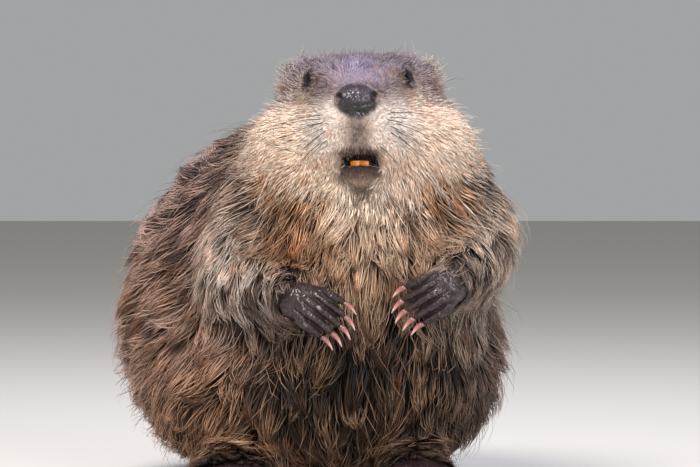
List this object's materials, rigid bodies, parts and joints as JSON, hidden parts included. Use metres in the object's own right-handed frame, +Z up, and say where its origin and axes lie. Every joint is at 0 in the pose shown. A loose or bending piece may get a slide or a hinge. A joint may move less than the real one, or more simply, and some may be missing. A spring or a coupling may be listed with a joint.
{
  "type": "adult North American beaver sitting upright",
  "caption": "Life-size still model of an adult beaver sitting up on its haunches, forepaws held before its chest, flat scaly tail laid behind it on the floor.",
  "frame": {"origin": "on the floor, under the middle of the whole animal's box", "axes": "+Z up, -Y the way the face looks, +X the animal's left-hand side, +Y towards the tail"},
  "size_m": [0.3564, 0.7166, 0.3857],
  "materials": {
    "body_fur": "wet-looking guard hair over dense underfur",
    "face_fur": "short dry fur",
    "ear_fur": "short fur with a pale fringe",
    "nose_leather": "moist, finely grained",
    "paw_leather": "wrinkled, semi-gloss",
    "tail_scales": "flat overlapping scales, semi-gloss",
    "claw": "horn, satin",
    "enamel": "tooth enamel, gloss",
    "eye": "wet, high gloss"
  },
  "bodies": {
    "root": {"head": "face_fur", "lower_jaw": "face_fur", "neck": "body_fur", "trunk": "body_fur", "tail_root": "body_fur", "nose": "nose_leather", "tail": "tail_scales", "eye_right": "eye", "ear_right": "ear_fur", "incisor_right": "enamel", "upper_arm_right": "body_fur", "forearm_right": "body_fur", "thigh_right": "body_fur", "forepaw_right": "paw_leather", "hind_foot_right": "paw_leather", "fore_claw_right_1": "claw", "hind_claw_right_1": "claw", "fore_claw_right_2": "claw", "hind_claw_right_2": "claw", "fore_claw_right_3": "claw", "hind_claw_right_3": "claw", "fore_claw_right_4": "claw", "hind_claw_right_4": "claw", "fore_claw_right_5": "claw", "hind_claw_right_5": "claw", "eye_left": "eye", "ear_left": "ear_fur", "incisor_left": "enamel", "upper_arm_left": "body_fur", "forearm_left": "body_fur", "thigh_left": "body_fur", "forepaw_left": "paw_leather", "hind_foot_left": "paw_leather", "fore_claw_left_1": "claw", "hind_claw_left_1": "claw", "fore_claw_left_2": "claw", "hind_claw_left_2": "claw", "fore_claw_left_3": "claw", "hind_claw_left_3": "claw", "fore_claw_left_4": "claw", "hind_claw_left_4": "claw", "fore_claw_left_5": "claw", "hind_claw_left_5": "claw"}
  },
  "joints": []
}
